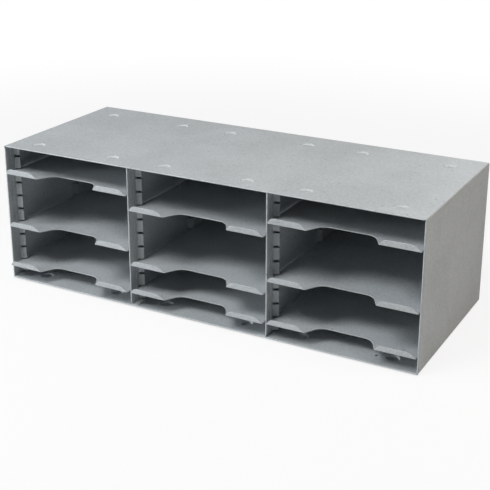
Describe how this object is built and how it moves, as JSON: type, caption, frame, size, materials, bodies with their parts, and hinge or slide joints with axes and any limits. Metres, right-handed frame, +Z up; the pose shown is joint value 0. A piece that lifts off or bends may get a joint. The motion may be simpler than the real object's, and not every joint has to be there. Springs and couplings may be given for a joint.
{
  "type": "sorting rack",
  "caption": "Low three-column steel sorting rack with thin slide-in shelves that can be set at different heights in slotted rails, closed at the back.",
  "frame": {"origin": "middle of the whole rack's plan at the height of the table it stands on", "axes": "+X along the width to the viewer's right when facing the open front, +Y from the open front to the closed back, +Z up"},
  "size_m": [0.788, 0.3249, 0.2565],
  "materials": {
    "housing_paint": "light grey powder coat, satin",
    "rail_paint": "light grey powder coat, satin",
    "shelf_paint": "light grey powder coat, satin"
  },
  "bodies": {
    "housing": {"wrapper": "housing_paint", "floor_panel": "housing_paint", "back_panel": "housing_paint", "divider_1": "housing_paint", "divider_2": "housing_paint", "rail_1_left_front": "rail_paint", "rail_1_left_back": "rail_paint", "rail_1_right_front": "rail_paint", "rail_1_right_back": "rail_paint", "rail_2_left_front": "rail_paint", "rail_2_left_back": "rail_paint", "rail_2_right_front": "rail_paint", "rail_2_right_back": "rail_paint", "rail_3_left_front": "rail_paint", "rail_3_left_back": "rail_paint", "rail_3_right_front": "rail_paint", "rail_3_right_back": "rail_paint"},
    "shelf_1_bottom": {"shelf_1_bottom": "shelf_paint"},
    "shelf_1_middle": {"shelf_1_middle": "shelf_paint"},
    "shelf_1_top": {"shelf_1_top": "shelf_paint"},
    "shelf_2_bottom": {"shelf_2_bottom": "shelf_paint"},
    "shelf_2_middle": {"shelf_2_middle": "shelf_paint"},
    "shelf_2_top": {"shelf_2_top": "shelf_paint"},
    "shelf_3_bottom": {"shelf_3_bottom": "shelf_paint"},
    "shelf_3_middle": {"shelf_3_middle": "shelf_paint"},
    "shelf_3_top": {"shelf_3_top": "shelf_paint"}
  },
  "joints": [
    {"name": "shelf_1_bottom_slide", "type": "slide", "parent": "housing", "child": "shelf_1_bottom", "axis": [0, -1, 0], "range_m": [-0.0067, 0.265]},
    {"name": "shelf_1_middle_slide", "type": "slide", "parent": "housing", "child": "shelf_1_middle", "axis": [0, -1, 0], "range_m": [-0.0017, 0.27]},
    {"name": "shelf_1_top_slide", "type": "slide", "parent": "housing", "child": "shelf_1_top", "axis": [0, -1, 0], "range_m": [-0.0017, 0.27]},
    {"name": "shelf_2_bottom_slide", "type": "slide", "parent": "housing", "child": "shelf_2_bottom", "axis": [0, -1, 0], "range_m": [-0.0042, 0.2675]},
    {"name": "shelf_2_middle_slide", "type": "slide", "parent": "housing", "child": "shelf_2_middle", "axis": [0, -1, 0], "range_m": [-0.0017, 0.27]},
    {"name": "shelf_2_top_slide", "type": "slide", "parent": "housing", "child": "shelf_2_top", "axis": [0, -1, 0], "range_m": [-0.0017, 0.27]},
    {"name": "shelf_3_bottom_slide", "type": "slide", "parent": "housing", "child": "shelf_3_bottom", "axis": [0, -1, 0], "range_m": [-0.0017, 0.27]},
    {"name": "shelf_3_middle_slide", "type": "slide", "parent": "housing", "child": "shelf_3_middle", "axis": [0, -1, 0], "range_m": [-0.0017, 0.27]},
    {"name": "shelf_3_top_slide", "type": "slide", "parent": "housing", "child": "shelf_3_top", "axis": [0, -1, 0], "range_m": [-0.0017, 0.27]}
  ]
}
